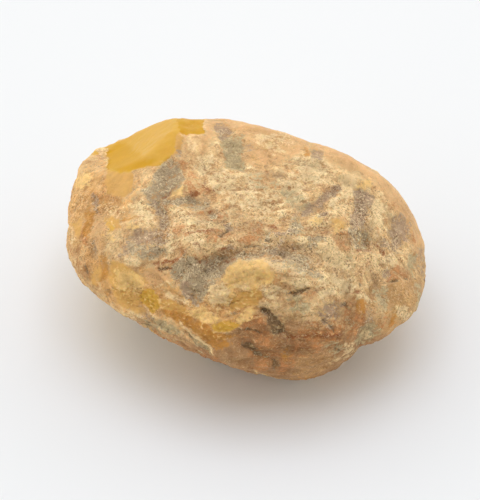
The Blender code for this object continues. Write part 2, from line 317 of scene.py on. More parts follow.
        (0.5, 0.6, [(119, 246), (128, 243), (130, 256), (120, 256)]),
        (0.6, 0.4, [(272, 230), (292, 228), (298, 240), (294, 250), (278, 246)]),
        (0.4, 0.8, [(338, 184), (328, 189), (316, 200), (300, 215), (314, 213), (330, 199), (341, 189)]),
        (0.3, 0.7, [(320, 212), (326, 210), (328, 216), (322, 218)]),
        (0.35, 1.0, [(354, 190), (362, 187), (374, 196), (370, 212), (361, 228), (350, 222), (356, 208)]),
        (0.35, 0.6, [(350, 219), (358, 217), (367, 229), (354, 228)]),
        (0.5, 0.9, [(391, 220), (400, 215), (409, 222), (408, 240), (398, 247), (389, 238)]),
        (0.5, 0.6, [(374, 241), (392, 242), (397, 250), (377, 249)]),
        (0.5, 0.6, [(414, 250), (424, 246), (428, 262), (420, 278)]),
        (0.5, 0.9, [(323, 305), (336, 300), (343, 306), (340, 320), (326, 321)]),
        (0.4, 0.8, [(319, 313), (326, 314), (334, 330), (328, 331)]),
        (0.4, 0.8, [(383, 270), (390, 271), (388, 278), (382, 277)]),
        (0.5, 0.6, [(366, 311), (374, 310), (376, 321), (366, 323)]),
        (0.3, 0.9, [(260, 310), (266, 310), (268, 316), (262, 317)]),
        (0.4, 0.6, [(177, 282), (186, 284), (202, 303), (198, 307), (182, 295)]),
        (0.4, 0.8, [(138, 311), (146, 312), (152, 319), (146, 323)]),
    ],
    # Partly the palest crust, partly painted light on slopes that turn from the lamp.
    "pale": [
        (0.5, 0.5, [(183, 137), (203, 136), (205, 146), (200, 154), (188, 154)]),
        (0.4, 0.4, [(372, 197), (380, 196), (388, 206), (387, 220), (378, 226), (373, 214)]),
        (0.4, 0.4, [(340, 190), (349, 188), (352, 196), (344, 204), (338, 200)]),
        (0.5, 1.0, [(316, 242), (334, 246), (344, 256), (342, 266), (328, 264)]),
        (0.5, 0.9, [(338, 176), (354, 175), (357, 186), (346, 193), (340, 188)]),
        (0.5, 0.8, [(208, 286), (226, 284), (231, 292), (227, 303), (212, 303)]),
        (0.5, 0.6, [(232, 284), (248, 282), (252, 289), (238, 293)]),
        (0.6, 0.5, [(258, 200), (280, 198), (282, 208), (264, 211)]),
        (0.5, 0.6, [(375, 189), (385, 192), (390, 202), (380, 200)]),
        (0.5, 0.6, [(357, 329), (368, 328), (371, 338), (361, 342)]),
        (0.5, 0.5, [(280, 276), (294, 276), (294, 286), (282, 286)]),
    ],
    "grit": [
        (3.0, 1.0, [(150, 205), (200, 212), (300, 212), (335, 185), (385, 200), (395, 262), (350, 285),
                    (318, 276), (262, 254), (180, 262), (150, 250)]),
        (2.0, 0.9, [(62, 182), (110, 176), (125, 205), (112, 262), (98, 275), (74, 262)]),
        (2.0, 0.9, [(366, 285), (418, 282), (418, 310), (396, 325), (372, 330)]),
    ],
    # Clefts and creases painted dark: painted shade.
    "dark": [
        (0.4, 0.9, [(266, 314), (273, 316), (283, 324), (285, 330), (274, 332), (268, 323)]),
        (0.3, 0.8, [(288, 292), (296, 289), (309, 288), (306, 292), (292, 295)]),
        (0.3, 0.9, [(242, 343), (250, 343), (257, 346), (259, 350), (245, 348)]),
        (0.3, 0.9, [(268, 360), (275, 359), (281, 361), (279, 368), (272, 370)]),
        (0.3, 0.5, [(283, 293), (290, 292), (291, 297), (285, 298)]),
        (0.4, 0.45, [(139, 322), (150, 319), (160, 324), (170, 331), (166, 334), (150, 329)]),
        (0.4, 0.45, [(187, 336), (194, 338), (203, 344), (210, 353), (201, 352), (192, 345)]),
    ],
}

# Streaks by finish: how fully they cover, and their course as x, y and half width in steps.
STREAKS = {
    "orange": [
        (0.8, [(106, 220, 0.8), (114, 224, 1.2), (128, 219, 1.2), (136, 216, 0.8)]),
        (0.9, [(298, 381, 1.5), (312, 378, 1.5), (321, 376, 1.0)]),
        (0.8, [(227, 303, 1.0), (234, 302, 2.5), (232, 308, 1.5)]),
    ],
    "rust": [
        (1.0, [(192, 193, 1.6), (196, 194, 2.8), (200, 193, 1.6)]),
        (0.9, [(272, 227, 1.6), (276, 228, 2.8), (281, 228, 1.4)]),
        (0.9, [(355, 292, 2.4), (358, 293, 1.8)]),
        (0.8, [(283, 217, 1.4), (285, 223, 1.8)]),
        (1.0, [(225, 261, 2.2), (234, 260, 2.4)]),
        (0.9, [(196, 257, 1.8), (199, 261, 1.6)]),
        (0.9, [(154, 263, 1.4), (162, 262, 1.8), (176, 259, 1.6)]),
        (1.0, [(160, 268, 1.4), (170, 270, 1.8)]),
        (0.8, [(314, 231, 1.4), (322, 235, 1.8), (329, 232, 1.8)]),
        (0.9, [(357, 252, 1.4), (374, 249, 1.6)]),
        (0.8, [(369, 241, 1.6), (376, 243, 1.8), (384, 252, 1.4)]),
        (0.7, [(205, 186, 1.6), (213, 190, 1.8)]),
        (0.8, [(176, 184, 1.4), (170, 191, 1.6), (160, 195, 1.6)]),
        (0.8, [(284, 336, 1.4), (305, 334, 1.9), (330, 338, 1.7), (342, 336, 1.2)]),
        (0.7, [(318, 228, 1.4), (312, 236, 1.4)]),
        (0.8, [(184, 250, 1.4), (198, 243, 1.4), (206, 262, 1.4)]),
        (0.7, [(182, 231, 1.3), (198, 230, 1.5), (212, 230, 1.3)]),
        (0.9, [(209, 213, 1.3), (214, 211, 1.7)]),
        (0.7, [(218, 252, 1.6), (225, 248, 1.6)]),
    ],
    # Clefts, creases and the lines under edges, painted dark as painted shade.
    "dark": [
        (0.8, [(261, 310, 2.2), (267, 314, 2.0)]),
        (0.7, [(255, 352, 1.5), (265, 358, 1.8), (272, 363, 1.5)]),
        (0.7, [(336, 349, 2.0), (339, 352, 1.5)]),
        (0.6, [(342, 302, 1.0), (350, 309, 1.2)]),
        (0.7, [(84, 250, 0.8), (84, 262, 1.0), (86, 272, 1.0), (89, 280, 0.6)]),
        (0.7, [(184, 332, 1.5), (190, 338, 1.5)]),
        (0.6, [(317, 315, 1.0), (326, 323, 1.6), (335, 332, 1.2)]),
        (0.7, [(243, 331, 1.4), (250, 330, 1.8), (262, 334, 1.2)]),
        (0.8, [(204, 270, 1.2), (207, 267, 1.2)]),
        (0.8, [(394, 281, 1.8), (397, 281, 1.5)]),
        (0.5, [(385, 283, 1.2), (402, 279, 1.4), (424, 280, 1.2)]),
        (0.6, [(233, 329, 0.8), (241, 331, 1.0)]),
        (0.6, [(230, 313, 0.8), (238, 312, 0.8)]),
        (0.9, [(222, 236, 1.5), (229, 232, 1.9)]),
        (0.8, [(360, 282, 1.2), (361, 286, 1.3)]),
        (0.8, [(160, 268, 1.5), (169, 269, 1.7)]),
        (0.7, [(266, 241, 1.4), (271, 241, 1.4)]),
        (0.6, [(240, 247, 1.2), (252, 245, 1.4), (262, 249, 1.2)]),
        (0.6, [(280, 252, 1.4), (284, 257, 1.4)]),
        (0.6, [(312, 268, 1.6), (316, 272, 1.6)]),
    ],
    # Thin pale edges along crests and rims: partly their own pale colour, partly painted highlight.
    "pale": [
        (1.0, [(179, 322, 0.7), (185, 328, 1.0), (190, 335, 1.1), (203, 341, 1.1), (213, 352, 0.9)]),
        (1.0, [(229, 303, 0.8), (233, 299, 0.9)]),
        (0.9, [(240, 292, 0.7), (248, 291, 0.7)]),
        (0.8, [(140, 303, 0.8), (145, 309, 1.0), (152, 315, 1.0), (160, 318, 0.8)]),
        (0.9, [(150, 289, 0.7), (160, 286, 0.9), (168, 283, 1.0), (174, 286, 0.9)]),
        (0.9, [(168, 293, 0.9), (174, 296, 1.1), (182, 301, 0.9), (190, 305, 0.8)]),
        (0.9, [(213, 286, 0.7), (222, 284, 0.9), (231, 283, 0.7)]),
        (0.8, [(350, 293, 0.7), (358, 296, 0.9), (363, 301, 0.7)]),
        (0.9, [(106, 149, 0.8), (106, 160, 1.0), (106, 170, 0.6)]),
        (0.8, [(181, 136, 0.8), (190, 137, 0.9), (203, 135, 0.7)]),
        (0.8, [(205, 123, 1.1), (206, 132, 1.1)]),
        (0.8, [(106, 219, 0.7), (111, 223, 0.9), (116, 229, 0.9)]),
        (0.7, [(325, 366, 0.7), (335, 361, 0.9), (342, 359, 0.7)]),
        (0.7, [(240, 365, 0.7), (255, 371, 0.9), (270, 376, 0.8)]),
    ],
}
# How soft the edges of streaks are, in mm.
STREAK_SOFTNESS = 0.35

# Which way the grain of the crust runs: x, y, and degrees counter-clockwise from right.
GRAIN_RUNS = [
    (80, 200, 70), (78, 250, 100), (95, 290, 130), (120, 200, 60), (140, 240, 20), (130, 290, 140),
    (170, 310, 145), (210, 340, 150), (160, 180, 60), (200, 170, 110), (200, 230, 10), (190, 280, 60),
    (240, 190, 20), (250, 150, 150), (300, 150, 150), (360, 170, 140), (320, 200, 38), (360, 220, 75),
    (390, 220, 110), (415, 250, 105), (280, 230, 20), (340, 260, 140), (240, 255, 15), (300, 265, 155),
    (250, 285, 25), (310, 295, 20), (350, 300, 60), (380, 270, 140), (400, 300, 80), (260, 330, 165),
    (320, 335, 170), (280, 360, 165), (330, 360, 25), (360, 330, 60),
]
# The higher this is, the more softly one run passes into the next.
GRAIN_RUN_SOFTNESS = 300
# At how many places along its run a drawn-out noise is added up.
GRAIN_RUN_PLACES = 7

# The face of the big chip, which lies as even as it was struck.
CHIP_FACE = [
    (104, 154), (120, 141), (134, 132), (150, 123), (164, 117), (176, 126), (184, 140), (177, 160),
    (156, 169), (134, 176), (108, 176),
]
# How far the knobs of the CAD stone are taken out of it, from 0 to 1.
CHIP_EVENNESS = 0.4

# Where the skin breaks into thin ledges: how strongly, and the outline.
LEDGES = [
    (1.0, [(160, 285), (180, 292), (205, 287), (230, 262), (262, 258), (300, 266), (320, 285), (300, 300),
           (262, 300), (250, 312), (240, 330), (215, 342), (190, 335), (165, 318), (140, 310), (120, 300),
           (115, 285), (135, 280)]),
    (0.6, [(250, 312), (262, 300), (300, 298), (350, 298), (356, 325), (338, 348), (300, 362), (262, 356),
           (244, 340), (240, 325)]),
    (0.5, [(300, 222), (345, 214), (385, 230), (395, 262), (350, 285), (318, 276), (290, 262), (262, 250)]),
]
# How soft the edges of these places are, in mm.
LEDGE_SOFTNESS = 1.2

# Where the skin stands out from the CAD stone or sinks into it: how far and how softly, in mm, and
# the outline.
RISES = [
    (0.75, 1.6, [(138, 134), (150, 122), (172, 110), (180, 128), (165, 145), (142, 148)]),
    (0.60, 1.2, [(78, 152), (98, 146), (102, 160), (88, 170), (76, 172)]),
    (0.45, 1.5, [(320, 140), (356, 150), (352, 166), (322, 158)]),
    (0.60, 2.0, [(400, 285), (428, 282), (425, 312), (405, 325), (396, 306)]),
    (-0.45, 0.3, [(139, 321), (150, 318), (162, 323), (178, 329), (188, 336), (203, 342), (213, 354),
                  (200, 356), (180, 345), (150, 334)]),
    (0.35, 0.6, [(205, 285), (222, 262), (236, 256), (262, 255), (285, 262), (312, 272), (300, 278),
                 (262, 272), (238, 280), (228, 296), (212, 306)]),
]

# How the edges of all marks stray: how far in mm, over what length in mm, and seed.
STRAYS = ((0.5, 3.4, 11.0), (0.35, 1.3, 5.0), (0.15, 0.6, 29.0))
# Over how many times its softness an area fades, outwards and inwards.
FADE_OUT, FADE_IN = 1.5, 1.2

# The skin that turns less towards the drawing than the first is told by the hidden patches alone,
# and the skin that turns more than the second by the drawing alone. 1 is square to the drawing.
SHOWN_FROM = (-0.30, -0.05)
# How far noise shifts that edge.
SHOWN_STRAY = 0.3

# Patches on the back and underside: finish, size in mm, how much noise it takes, seed.
HIDDEN_PATCHES = [
    ("grey", 7.0, 0.16, 31.0),
    ("mauve", 6.0, 0.22, 37.0),
    ("moss", 7.0, 0.26, 41.0),
    ("peach", 9.0, 0.05, 43.0),
    ("honey", 9.0, 0.40, 47.0),
    ("orange", 7.0, 0.38, 53.0),
    ("butter", 8.0, 0.34, 59.0),
    ("brown", 9.0, 0.26, 71.0),
    ("glow", 12.0, 0.10, 97.0),
    ("cream", 5.0, 0.10, 83.0),
]

# How far under and over that much noise a patch goes from none to its full cover.
PATCH_EDGE = (0.08, 0.12)

# Over this height above the ground, in mm, the skin goes from the plain base to its full relief.
BASE_EDGE = (0.2, 1.6)

# How far the edges of broken plates stray, and over what length, in mm.
PLATE_STRAY, PLATE_STRAY_LENGTH = 0.45, 1.4
# Spread this far apart, the middles of neighbouring plates draw unlike levels.
PLATE_SPREAD = 7.3

# How far each finish stands proud of the crust, in mm, or lies under it.
PROUD = {
    "grey": -0.28, "mauve": -0.22, "moss": -0.18, "gold": -0.12, "deep": -0.05, "honey": -0.15,
    "orange": -0.08, "butter": 0.15, "cream": 0.12, "dark": -0.35, "pale": 0.15,
}
# How smooth the finishes are that have lost the grain of the crust.
SMOOTHNESS = {
    "gold": 1.0, "deep": 1.0, "honey": 0.9, "butter": 0.65, "orange": 0.8, "amber": 0.9, "peach": 0.75,
    "tan": 0.7,
}

# The finishes in the order that they lie over the crust: how ragged the edge is, how strongly the
# finish covers, how much of the grain of the crust it keeps, and how cloudy it is.
LAYERS = (
    ("glow", 3.0, 0.60, 0.60, 0.10),
    ("umber", 2.5, 0.66, 0.30, 0.14),
    ("peach", 3.0, 0.88, 0.40, 0.05),
    ("tan", 3.0, 0.85, 0.60, 0.10),
    ("cream", 4.0, 0.70, 1.00, 0.04),
    ("brown", 3.6, 0.85, 0.55, 0.22),
    ("orange", 2.0, 0.90, 0.30, 0.12),
    ("amber", 1.0, 0.95, 0.10, 0.04),
    ("butter", 2.0, 0.90, 0.35, 0.10),
    ("honey", 1.2, 0.95, 0.08, 0.05),
    ("gold", 0.4, 1.00, 0.05, 0.02),
    ("deep", 0.4, 0.90, 0.05, 0.02),
    ("moss", 4.0, 0.85, 0.90, 0.06),
    ("grey", 4.0, 0.92, 1.40, 0.08),
    ("mauve", 4.0, 0.90, 1.10, 0.08),
    ("rust", 3.4, 0.85, 1.00, 0.08),
    ("dark", 3.0, 0.85, 1.00, 0.08),
    ("pale", 1.0, 0.90, 0.60, 0.04),
)


def tint(red, green, blue):
    """A colour told as it looks on a screen, from 0 to 255, as the linear value shaders take."""
    shares = (part / 255 for part in (red, green, blue))
    return tuple(s / 12.92 if s <= 0.04045 else ((s + 0.055) / 1.055) ** 2.4 for s in shares)


def colour(name, description, *look):
    return FloatVectorProperty(
        name=name, description=description, subtype="COLOR", size=3, min=0, max=1, default=tint(*look)
    )


def amount(name, description, default, **limits):
    """A setting that isn't below 0."""
    return FloatProperty(name=name, description=description, default=default, min=0, **limits)


class AmberStoneSettings(bpy.types.PropertyGroup):
    cuts: IntProperty(
        name="Cuts",
        description="Cuts along each edge of the starting solid, which set how fine the skin is",
        default=94,
        min=8,
        max=96,
    )
    grain: amount("Grain", "Strength of the fine light and dark grain", 0.8, max=2)
    crust_relief: amount("Crust Relief", "Height of the knobs of the crust, in mm", 0.30, max=2)
    plate_height: amount("Plate Height", "Height of the broken plates, in mm", 0.12, max=2)
    fold_height: amount("Fold Height", "Height of the long folds of the skin, in mm", 0.16, max=2)
    ledge_height: amount("Ledge Height", "Height of the thin ledges, in mm", 0.45, max=2)
    crust_pale: colour("Pale Crust", "Palest patches of the crust", 245, 214, 160)
    crust_cream: colour("Cream Crust", "Light patches of the crust", 235, 197, 141)
    crust_peach: colour("Crust", "Main colour of the crust", 221, 176, 121)
    crust_tan: colour("Tan Crust", "Darker patches of the crust", 204, 158, 105)
    stain: colour("Stain", "Orange-brown stain on the crust", 198, 126, 66)
    dust: colour("Dust", "Green-grey dust on the crust", 186, 164, 122)
    grime: colour("Grime", "Mauve-brown grime on the crust", 176, 144, 112)
    # Painted highlight on the lips of the ledges and painted shade at their feet.
    lip: colour("Ledge Lips", "Pale lips of the thin ledges", 242, 204, 138)
    foot: colour("Ledge Feet", "Orange-brown feet of the thin ledges", 176, 116, 56)
    vein: colour("Veins", "Red-brown veins in the crust", 150, 92, 48)
    fleck: colour("Flecks", "Pale flecks of the crust", 255, 232, 184)
    speck: colour("Specks", "Dark specks of the crust", 108, 82, 46)
    peach: colour("Peach", "Smooth peach skin", 220, 172, 118)
    cream: colour("Cream", "Pale flecked crust", 240, 210, 158)
    glow: colour("Glow", "Golden tinge of the crust where amber is near", 212, 148, 72)
    # Partly the lower belt's own brown, partly painted shade where it turns down.
    umber: colour("Umber", "Brown tinge of the lower belt", 148, 93, 53)
    tan: colour("Tan", "Smooth tan skin and the lower belt", 192, 144, 90)
    brown: colour("Brown", "Red-brown crust of the front", 180, 120, 70)
    orange: colour("Orange", "Orange amber", 191, 132, 59)
    amber: colour("Amber", "Cloudy amber", 214, 164, 91)
    butter: colour("Butter", "Butter-yellow amber", 236, 193, 122)
    honey: colour("Honey", "Deep honey amber", 220, 170, 72)
    gold: colour("Gold", "Smooth amber of the chips", 214, 164, 66)
    deep: colour("Deep Gold", "Deeper amber of the chips", 204, 150, 12)
    moss: colour("Moss", "Green-grey patches", 183, 162, 121)
    grey: colour("Grey", "Grey granular patches", 172, 150, 118)
    mauve: colour("Mauve", "Mauve-brown patches", 170, 139, 111)
    rust: colour("Rust", "Rust-red spots", 146, 82, 40)
    # Painted shade of the clefts.
    dark: colour("Clefts", "Dark of the clefts", 116, 90, 60)
    # Partly the palest colour of the stone, partly painted highlight and light.
    pale: colour("Edges", "Thin pale edges and the palest spots", 240, 205, 150)


class AmberStageSettings(bpy.types.PropertyGroup):
    floor_width: FloatProperty(
        name="Floor Width", description="Width of the floor", default=3.0, unit="LENGTH", min=0.2
    )
    floor_colour: colour("Floor", "Colour of the floor", 240, 240, 240)
    lamp_power: amount("Lamp Power", "Power of the lamp overhead, in watts", 2.35)
    lamp_width: FloatProperty(
        name="Lamp Width", description="Width of the lamp overhead", default=0.6, unit="LENGTH", min=0.01
    )
    lamp_distance: FloatProperty(
        name="Lamp Distance", description="From the stone to the lamp", default=0.7, unit="LENGTH", min=0.1
    )
    lamp_lift: FloatProperty(
        name="Lamp Lift",
        description="Angle of the lamp above level, behind the stone",
        default=math.radians(88),
        unit="ROTATION",
    )
    lamp_colour: colour("Lamp", "Colour of the lamp", 234, 239, 255)
    left_light: amount("Left Light", "Strength of the soft light from the left", 1.50)
    right_light: amount("Right Light", "Strength of the soft light from the right", 1.14)
    back_light: amount("Back Light", "Strength of the soft light from behind", 1.02)
    sky_colour: colour("Sky", "Colour of the soft light", 255, 255, 249)


# ---------------------------------------------------------------- the drawing


def drawing_axes():
    """Right, up and towards the viewer, as unit vectors."""
    lift = math.radians(DRAWING_LIFT)
    right = Vector((1, 0, 0))
    towards = Vector((0, -math.cos(lift), math.sin(lift)))
    return right, towards.cross(right), towards


def on_drawing(points):
    """Where points in mm show on the drawing, as an array of x and y."""
    right, up, towards = (np.array(axis) for axis in drawing_axes())
    offset = points - np.array(DRAWING_FOCUS)
    scale = DRAWING_SCALE * DRAWING_DISTANCE / (DRAWING_DISTANCE - offset @ towards)
    across = DRAWING_MIDDLE[0] + offset @ right * scale
    down = DRAWING_MIDDLE[1] - offset @ up * scale
    return np.stack([across, down], axis=1)


def smoothstep(low, high, values):
    """Eases from 0 at low to 1 at high."""
    share = np.clip((values - low) / (high - low), 0, 1)
    return share * share * (3 - 2 * share)


def way_from_side(spots, start, end):
    """The way to each spot from the nearest place on a side, and how far along it that lies."""
    side = end - start
    offset = spots - start
    share = np.clip(offset @ side / (side @ side), 0, 1)
    return offset - share[:, None] * side, share


def inside_outline(spots, outline):
    """How far each spot lies inside a closed outline, below 0 outside it."""
    nearest = np.full(len(spots), np.inf)
    crossings = np.zeros(len(spots), dtype=bool)
    corners = np.array(outline, dtype=float)
    for start, end in zip(corners, np.roll(corners, -1, axis=0)):
        away, _ = way_from_side(spots, start, end)
        nearest = np.minimum(nearest, np.einsum("ij,ij->i", away, away))
        run, drop = end - start
        if drop != 0:
            spans = (start[1] > spots[:, 1]) != (end[1] > spots[:, 1])
            level = start[0] + (spots[:, 1] - start[1]) * run / drop
            crossings ^= spans & (spots[:, 0] < level)
    return np.where(crossings, 1, -1) * np.sqrt(nearest)


def inside_streak(spots, course):
    """How far each spot lies inside a streak, below 0 outside it."""
    inside = np.full(len(spots), -np.inf)
    places = np.array(course, dtype=float)
    for start, end in zip(places, places[1:]):
        away, share = way_from_side(spots, start[:2], end[:2])
        half_width = start[2] + share * (end[2] - start[2])
        inside = np.maximum(inside, half_width - np.linalg.norm(away, axis=1))
    return inside


# ---------------------------------------------------------------- the stone's mesh


def relax(mesh, passes):
    """Draws every vertex to the middle of its neighbours by half, which evens the skin."""
    axes = {"use_axis_x": True, "use_axis_y": True, "use_axis_z": True}
    for _ in range(passes):
        bmesh.ops.smooth_vert(mesh, verts=mesh.verts, factor=0.5, **axes)


def fine_skin(cuts):
    """An evenly divided sphere, laid onto the CAD stone from its heart and relaxed."""
    solid = bmesh.new()
    solid.from_mesh(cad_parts[NODE].data)
    bmesh.ops.remove_doubles(solid, verts=solid.verts, dist=1e-6)
    tree = BVHTree.FromBMesh(solid)
    solid.free()
    mesh = bmesh.new()
    bmesh.ops.create_icosphere(mesh, subdivisions=1, radius=1.0)
    bmesh.ops.subdivide_edges(mesh, edges=mesh.edges, cuts=cuts, use_grid_fill=True)
    size = Vector(CAD_BOX[1]) - Vector(CAD_BOX[0])
    for vert in mesh.verts:
        start = vert.co.normalized()
        ray = Vector((start.x * size.x, start.y * size.y, start.z * size.z))
        vert.co = tree.ray_cast(HEART, ray.normalized())[0]
    relax(mesh, RELAX_PASSES)
    mesh.normal_update()
    return mesh


def seed_shift(seed):
    """How far a seed shifts a noise, so that no two are alike."""
    return (seed, seed * 1.7, seed * -2.3)


def fractal(place, octaves):
    """Noise in octaves, each half the size and half the strength of the one before."""
    return noise.fractal(place, 1.0, 2.0, octaves)


class Skin:
    """The fine skin as arrays in mm: its points, their outward normals, and fields over them."""

    def __init__(self, mesh):
        self.mesh = mesh
        self.points = np.array([vert.co for vert in mesh.verts]) / MM
        self.normals = np.array([vert.normal for vert in mesh.verts])
        self.places = [vert.co / MM for vert in mesh.verts]
        self.drift = sum(far * self.wander(length, seed) for far, length, seed in STRAYS)
        self.spots = on_drawing(self.points + self.drift)
        facing = self.normals @ np.array(drawing_axes()[2])
        ragged = SHOWN_STRAY * self.noise(size=5.0, octaves=3, seed=43.0)
        self.shown = smoothstep(*SHOWN_FROM, facing + ragged)
        self.fields = {}

    def noise(self, size, octaves=1, seed=0.0):
        """Noise of a size in mm, from about -1 to 1."""
        shift = Vector(seed_shift(seed))
        return np.array([fractal(place / size + shift, octaves) for place in self.places])

    def wander(self, size, seed):
        """A drift of a size in mm, from about -1 to 1 along each axis."""
        return np.stack([self.noise(size, 1, seed + axis * 31.0) for axis in range(3)], axis=1)

    def grain_run(self):
        """The way the grain of the crust runs at each point, as unit vectors over the skin."""
        runs = np.array(GRAIN_RUNS, dtype=float)
        # A run and its opposite are the same, so twice the angle is what is averaged.
        twice = np.radians(2 * runs[:, 2])
        away = np.linalg.norm(self.spots[:, None, :] - runs[None, :, :2], axis=2)
        shares = 1 / (away**3 + GRAIN_RUN_SOFTNESS)
        angle = 0.5 * np.arctan2(shares @ np.sin(twice), shares @ np.cos(twice))
        right, up, _ = (np.array(axis) for axis in drawing_axes())
        along = np.cos(angle)[:, None] * right + np.sin(angle)[:, None] * up
        along -= np.einsum("ij,ij->i", along, self.normals)[:, None] * self.normals
        return along / np.linalg.norm(along, axis=1)[:, None]

    def long_grain(self, size, reach, seed):
        """Noise of a size in mm, drawn out along the grain over a reach in mm."""
        along = self.grain_run()
        total = np.zeros(len(self.points))
        for step in np.linspace(-1, 1, GRAIN_RUN_PLACES):
            places = (self.points + along * step * reach) / size + np.array(seed_shift(seed))
            total += [fractal(Vector(place), 3) for place in places]
        return total / total.std()

    def hollows(self, passes):
        """How deep each point lies in mm under the skin around it, below 0 where it stands out."""
        around = self.mesh.copy()
        relax(around, passes)
        away = np.array([vert.co for vert in around.verts]) / MM - self.points
        around.free()
        return np.einsum("ij,ij->i", away, self.normals)

    def flatten(self, cover, share):
        """Lays the skin more evenly, by a share, over the place of a chip, as a struck face lies."""
        middle = self.points[cover > 0.5].mean(axis=0)
        away = self.points - middle
        axes = np.linalg.svd(away[cover > 0.5], full_matrices=False)[2]
        across, down, out = (away @ axis for axis in axes)
        terms = np.stack([np.ones_like(out), across, down, across**2, across * down, down**2], axis=1)
        bow = np.linalg.lstsq(terms[cover > 0.5], out[cover > 0.5], rcond=None)[0]
        self.points += axes[2] * ((terms @ bow - out) * cover * share)[:, None]
        self.spots = on_drawing(self.points + self.drift)

    def plates(self, size, seed):
        """Broken plates of a size in mm: the level of each, from 0 to 1, and how near its edge is."""
        shift = Vector((seed, seed * 0.6, -seed))
        drifted = (self.points + PLATE_STRAY * self.wander(PLATE_STRAY_LENGTH, seed)) / size
        nearest = [noise.voronoi(Vector(place) + shift) for place in drifted]
        level = np.array([noise.cell(middles[0] * PLATE_SPREAD) for _, middles in nearest])
        edge = np.array([distances[1] - distances[0] for distances, _ in nearest])
        return level, edge

    def area(self, softness, cover, outline):
        inside = inside_outline(self.spots, outline) / DRAWING_SCALE
        return cover * smoothstep(-FADE_OUT * softness, FADE_IN * softness, inside) * self.shown

    def streak(self, cover, course):
        inside = inside_streak(self.spots, course) / DRAWING_SCALE
        return cover * smoothstep(-STREAK_SOFTNESS, STREAK_SOFTNESS, inside) * self.shown

    def hidden_patch(self, size, bar, seed):
        under, over = PATCH_EDGE
        return smoothstep(bar - under, bar + over, self.noise(size, 2, seed)) * (1 - self.shown)

    def cover(self, finish):
        """How fully a finish covers each point, from 0 to 1."""
        layers = [self.area(*area) for area in AREAS.get(finish, [])]
        layers += [self.streak(*streak) for streak in STREAKS.get(finish, [])]
        layers += [self.hidden_patch(*patch) for name, *patch in HIDDEN_PATCHES if name == finish]
        return np.max(layers, axis=0)

    def write(self):
        """Moves the mesh to the points and returns it as mesh data with its fields."""
        for vert, point in zip(self.mesh.verts, self.points * MM):
            vert.co = point
        data = bpy.data.meshes.new("weathered_amber")
        self.mesh.to_mesh(data)
        self.mesh.free()
        for name, values in self.fields.items():
            attribute = data.attributes.new(name, "FLOAT", "POINT")
            attribute.data.foreach_set("value", values.astype(np.float32))
        return data


def carve(skin, settings):
    """Works out the finishes, gives the skin its fine relief, and keeps both as fields."""
    hollow = skin.hollows(HOLLOW_PASSES)
    skin.flatten(skin.area(0.5, 1.0, CHIP_FACE), CHIP_EVENNESS)
    covers = {finish: skin.cover(finish) for finish in sorted({*AREAS, *STREAKS})}
    smooth = np.max([share * covers[finish] for finish, share in SMOOTHNESS.items()], axis=0)
    rough = 1 - smooth
    even = np.max([covers["gold"], covers["deep"], 0.8 * covers["amber"]], axis=0)

    streaks = skin.long_grain(size=0.9, reach=1.0, seed=23.0)
    folds = skin.long_grain(size=2.0, reach=2.4, seed=61.0)
    knobs = skin.noise(size=2.6, octaves=3, seed=3.0)
    grain = skin.noise(size=0.85, octaves=2, seed=19.0)
    level, edge = skin.plates(size=2.3, seed=13.0)
    cracked = smoothstep(0.0, 0.35, skin.noise(size=4.0, octaves=2, seed=67.0))
    crack = smoothstep(0.16, 0.02, edge) * cracked
    # Each whole step of the terraces is one ledge: 0 at its foot and 1 at its lip.
    terraces = 1.1 * folds + 0.5 * skin.noise(size=2.1, octaves=2, seed=59.0)
    ledge = terraces - np.floor(terraces)
    flaky = np.max([skin.area(LEDGE_SOFTNESS, cover, outline) for cover, outline in LEDGES], axis=0)

    relief = settings.crust_relief * rough * (0.7 * knobs + 0.35 * grain + 0.16 * streaks)
    relief += settings.plate_height * rough * (level - 0.5 - 0.8 * crack)
    relief += settings.ledge_height * flaky * (ledge - 0.5)
    relief += settings.fold_height * (0.35 + 0.65 * flaky) * (1 - even) * folds
    for rise, softness, outline in RISES:
        relief += skin.area(softness, rise, outline)
    for finish, height in PROUD.items():
        relief += height * smoothstep(0.2, 0.8, covers[finish])

    # The skin keeps to the base that it rests on, and inside the box of the CAD stone.
    raised = relief * smoothstep(*BASE_EDGE, skin.points[:, 2])
    low, high = np.array(CAD_BOX[0]) / MM, np.array(CAD_BOX[1]) / MM
    skin.points = np.clip(skin.points + skin.normals * raised[:, None], low, high)

    marks = {"smooth": smooth, "streaks": streaks, "folds": folds, "hollow": hollow}
    skin.fields = {**covers, **marks, "ledge": ledge, "flaky": flaky}


# ---------------------------------------------------------------- materials


class Value:
    """A shader socket that takes part in sums as a number does."""

    def __init__(self, paint, socket):
        self.paint = paint
        self.socket = socket

    def __add__(self, other):
        return self.paint.math("ADD", self, other)

    def __sub__(self, other):
        return self.paint.math("SUBTRACT", self, other)

    def __rsub__(self, other):
        return self.paint.math("SUBTRACT", other, self)

    def __mul__(self, other):
        return self.paint.math("MULTIPLY", self, other)

    __radd__ = __add__
    __rmul__ = __mul__


